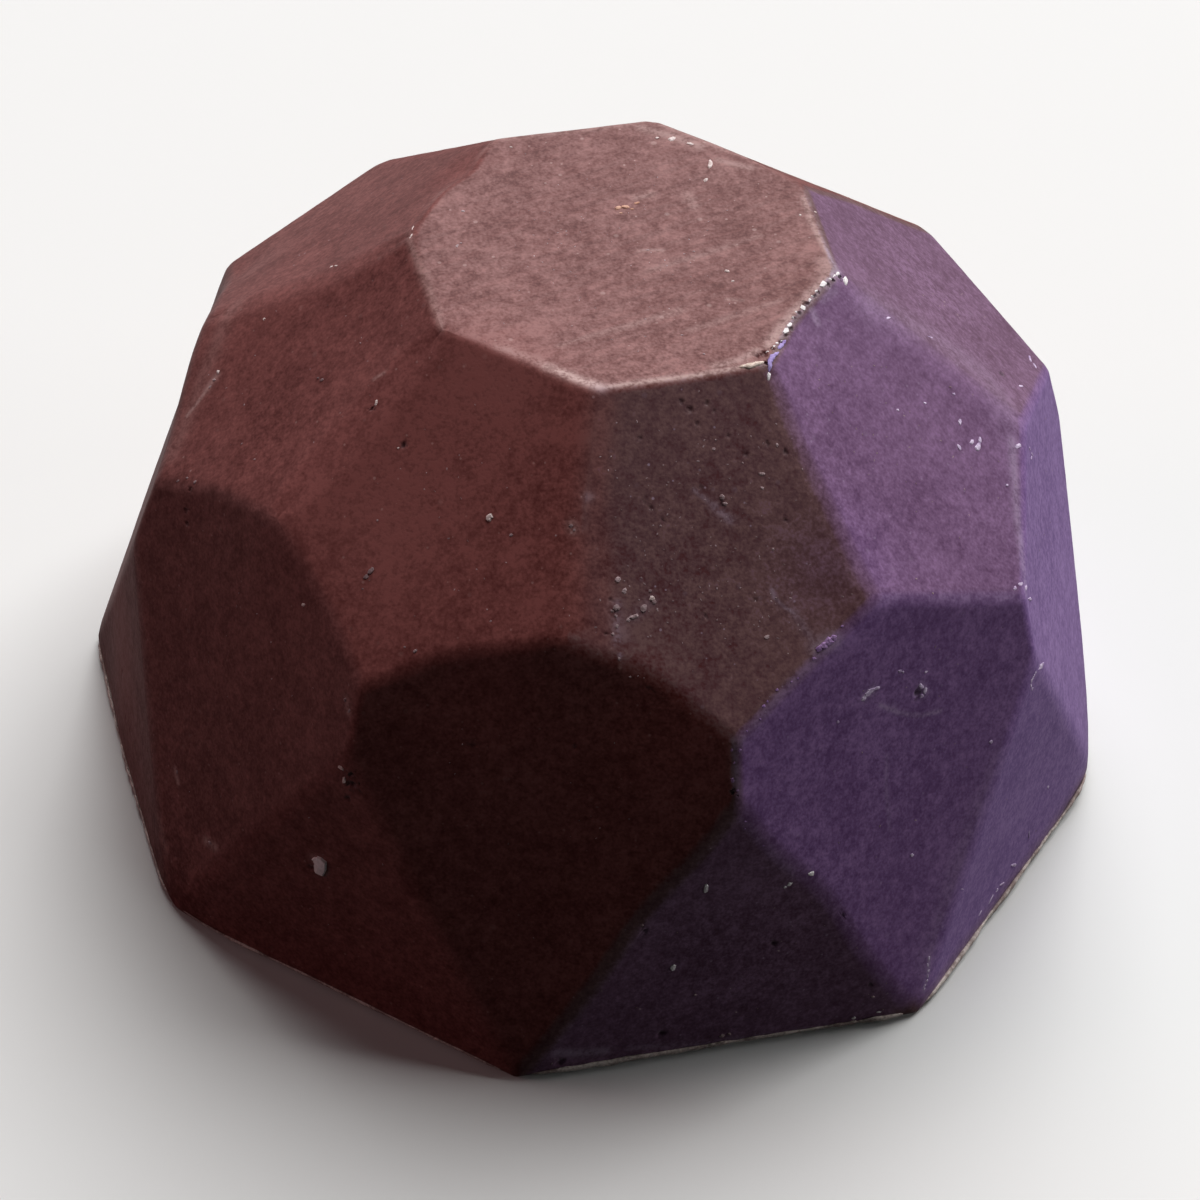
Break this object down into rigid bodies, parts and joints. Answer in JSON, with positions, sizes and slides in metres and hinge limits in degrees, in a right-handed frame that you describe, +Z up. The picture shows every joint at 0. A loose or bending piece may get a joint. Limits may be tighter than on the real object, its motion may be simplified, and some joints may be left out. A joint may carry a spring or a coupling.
{
  "type": "chocolate bonbon",
  "caption": "Moulded chocolate bonbon: a solid faceted dome with a flat octagonal top, a flat base and a violet tint on one side.",
  "frame": {"origin": "middle of the flat base", "axes": "+Z up along the dome's axis, -Y towards the middle of one side facet, the violet tint towards +X"},
  "size_m": [0.0298, 0.0298, 0.017],
  "materials": {
    "chocolate": "satin moulded chocolate, tinted violet on the +X side"
  },
  "bodies": {
    "root": {"bonbon": "chocolate"}
  },
  "joints": []
}
